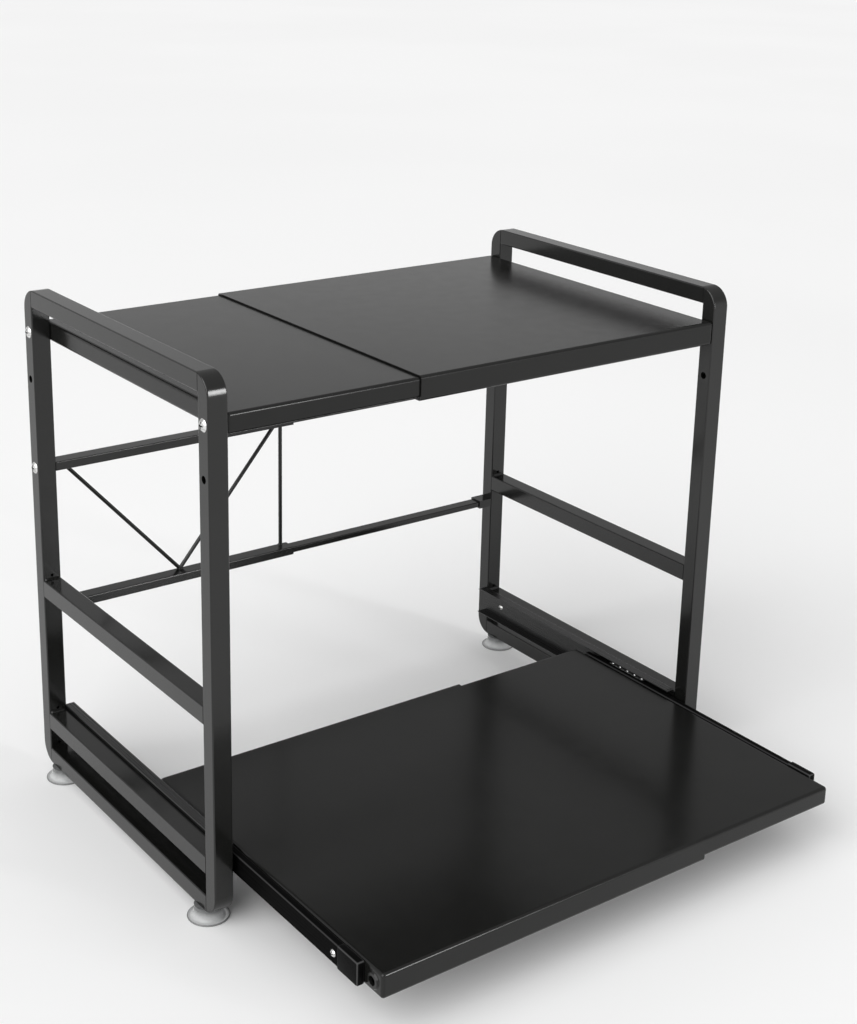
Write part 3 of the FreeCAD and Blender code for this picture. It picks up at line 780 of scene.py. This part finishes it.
class RACK_OT_welds(Operator):
    """Lays the weld seams of the rails and the spots at the ends of the brace wires"""

    bl_idname = "rack.welds"
    bl_label = "Lay weld seams"

    def rail_seams(self, node, welds):
        """Four seams of a rail: over and under each of its ends, across the rail."""
        low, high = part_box(node)
        ends = ((low.y, (0, 1, 0)), (high.y, (0, -1, 0)))
        edges = ((high.z, (0, 0, 1)), (low.z, (0, 0, -1)))
        return [seam((low.x + welds.end_gap, y, z), (high.x - welds.end_gap, y, z), along, up, welds)
                for y, along in ends for z, up in edges]

    def wire_spots(self, wire, leans, welds):
        """Spots at the foot and top of a wire, whose top leans to the side that WIRES gives.

        The slanting wires meet at their feet, and the spot there is laid with the left one.
        """
        low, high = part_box(wire)
        middle = (low + high) / 2
        half = (high.x - low.x) / 2
        ends = [(middle.x + leans * (half - (high.y - low.y) / 2), high.z, -1)]
        if leans <= 0:
            ends.append((middle.x - leans * half, low.z, 1))
        return [dome((x, middle.y, z), up, welds.spot_radius, welds.spot_height) for x, z, up in ends]

    def execute(self, context):
        welds = context.scene.rack_welds
        coat = context.scene.rack_coat
        black = powder_coat(coat, "seam_coat", coat.tube_sheen, coat.tube_roughness, Finish.rounded_edges)
        for side in SIDES:
            seams = [shape for rail in ("mid_rail", "lower_rail")
                     for shape in self.rail_seams(f"{side}_{rail}", welds)]
            new_piece(f"{side}_rail_welds", *joined(seams), black, f"{side}_half", "black_powder_coat",
                      welds.crease)
        spots = [spot for wire, leans in WIRES.items() for spot in self.wire_spots(wire, leans, welds)]
        new_piece("brace_welds", *joined(spots), black, "left_half", "black_powder_coat", welds.crease)
        return {"FINISHED"}


def soft_lamp(name, place, target, size, spread, power):
    """Rectangular soft lamp at a place, turned to a target and shining over a spread."""
    lamp = bpy.data.lights.new(name, "AREA")
    lamp.shape = "RECTANGLE"
    lamp.size, lamp.size_y = size
    lamp.spread = spread
    lamp.energy = power
    holder = bpy.data.objects.new(name, lamp)
    holder.location = place
    holder.rotation_mode = "QUATERNION"
    holder.rotation_quaternion = (Vector(target) - Vector(place)).to_track_quat("-Z", "Y")
    bpy.context.scene.collection.objects.link(holder)


def wide_light(name, source, spread, strength):
    """Even light over the whole floor, from a direction and as wide as the spread."""
    light = bpy.data.lights.new(name, "SUN")
    light.angle = spread
    light.energy = strength
    holder = bpy.data.objects.new(name, light)
    holder.rotation_mode = "QUATERNION"
    holder.rotation_quaternion = (-Vector(source)).to_track_quat("-Z", "Y")
    bpy.context.scene.collection.objects.link(holder)


class RACK_OT_stage(Operator):
    """Sets the pale floor, the soft light and the camera"""

    bl_idname = "rack.stage"
    bl_label = "Set stage"

    def floor(self, stage):
        """Square grid (u, v) to (R u, R v, 0) with u and v from -1 to 1."""
        side = np.linspace(-1.0, 1.0, FLOOR_POINTS)
        u, v = np.meshgrid(side, side)
        points = np.stack([u, v, np.zeros_like(u)], axis=-1).reshape(-1, 3) * stage.floor_radius
        grid = np.arange(u.size).reshape(u.shape)
        faces = np.stack([grid[:-1, :-1], grid[:-1, 1:], grid[1:, 1:], grid[1:, :-1]], axis=-1)
        mesh = bpy.data.meshes.new("floor")
        mesh.from_pydata(points, [], faces.reshape(-1, 4).tolist())
        finish = Finish("pale_floor", {"Roughness": stage.floor_roughness, "Specular IOR Level": 0.0})
        tone = finish.span(finish.noise(stage.floor_cloud_size), 0.0, 1.0)
        worn = tuple(stage.floor_cloud_share * part for part in stage.floor_colour)
        finish.feed(finish.shader, {"Base Color": finish.blend(tone, stage.floor_colour, worn)})
        mesh.materials.append(finish.material)
        floor = bpy.data.objects.new("floor", mesh)
        bpy.context.scene.collection.objects.link(floor)

    def sky(self, stage):
        """Soft light from all round, brightest at the horizon; 2 and 3 are the Mix node's number sockets."""
        world = bpy.data.worlds.new("studio")
        bpy.context.scene.world = world
        world.use_nodes = True
        sky = Nodes(world.node_tree)
        direction = sky.add("TexCoord", {}).outputs["Generated"]
        towards = sky.add("VectorMath", {0: direction, 1: stage.key_source}, operation="DOT_PRODUCT")
        sides = (-stage.sky_turn, stage.sky_turn)
        upper = sky.span(towards.outputs["Value"], stage.sky_dim, stage.sky_bright, sides)
        height = sky.add("SeparateXYZ", {0: direction}).outputs["Z"]
        rise = sky.span(height, 0.0, 1.0, (0.0, stage.sky_glow))
        strength = sky.add("Mix", {0: rise, 2: stage.sky_low, 3: upper}).outputs[0]
        sky.feed(world.node_tree.nodes["Background"], {"Color": (1.0, 1.0, 1.0, 1.0), "Strength": strength})

    def camera(self, stage):
        """Camera turned by yaw about the vertical, pitched down, and rolled about its own view."""
        data = bpy.data.cameras.new("camera")
        data.lens = stage.lens
        data.shift_y = stage.shift
        camera = bpy.data.objects.new("camera", data)
        turn = Matrix.Rotation(stage.yaw, 4, "Z") @ Matrix.Rotation(math.pi / 2 - stage.pitch, 4, "X")
        camera.matrix_world = (Matrix.Translation(stage.camera_place) @ turn
                               @ Matrix.Rotation(stage.roll, 4, "Z"))
        bpy.context.scene.collection.objects.link(camera)
        bpy.context.scene.camera = camera

    def execute(self, context):
        stage = context.scene.rack_stage
        self.floor(stage)
        self.sky(stage)
        middle = (cad_box[0] + cad_box[1]) / 2
        wide_light("left_key", stage.key_source, stage.key_spread, stage.key_strength)
        soft_lamp("front_window", stage.window_place, middle, (stage.window_width, stage.window_height),
                  stage.window_spread, stage.window_power)
        self.camera(stage)
        context.scene.view_settings.view_transform = "Standard"
        return {"FINISHED"}


class RACK_PT_looks(Panel):
    """Lists the rack's steps and the values that they read"""

    bl_idname = "RACK_PT_looks"
    bl_label = "Counter rack"
    bl_space_type = "VIEW_3D"
    bl_region_type = "UI"
    bl_category = "Rack"

    def draw(self, context):
        for operator in OPERATORS:
            self.layout.operator(operator.bl_idname)
        for name, group in GROUPS.items():
            box = self.layout.box()
            box.label(text=group.__doc__)
            for value in group.__annotations__:
                box.prop(getattr(context.scene, name), value)


GROUPS = {"rack_coat": RackCoat, "rack_slides": RackSlides, "rack_plating": RackPlating,
          "rack_feet": RackFeet, "rack_welds": RackWelds, "rack_stage": RackStage}
OPERATORS = (RACK_OT_side_frames, RACK_OT_panels, RACK_OT_back_bars, RACK_OT_slides, RACK_OT_slide_stops,
             RACK_OT_hardware, RACK_OT_suction_feet, RACK_OT_welds, RACK_OT_stage)


def register():
    """Makes the groups, operators and panel known, and hangs the groups on the scene."""
    for known in (*GROUPS.values(), *OPERATORS, RACK_PT_looks):
        bpy.utils.register_class(known)
    for name, group in GROUPS.items():
        setattr(bpy.types.Scene, name, PointerProperty(type=group))


def unregister():
    """Takes back what register did."""
    for name in GROUPS:
        delattr(bpy.types.Scene, name)
    for known in (RACK_PT_looks, *reversed(OPERATORS), *reversed(tuple(GROUPS.values()))):
        bpy.utils.unregister_class(known)


def main():
    register()
    bpy.ops.rack.side_frames()
    bpy.ops.rack.panels()
    bpy.ops.rack.back_bars()
    bpy.ops.rack.slides()
    bpy.ops.rack.slide_stops()
    bpy.ops.rack.hardware()
    bpy.ops.rack.suction_feet()
    bpy.ops.rack.welds()
    bpy.ops.rack.stage()


if __name__ == "__main__":
    main()
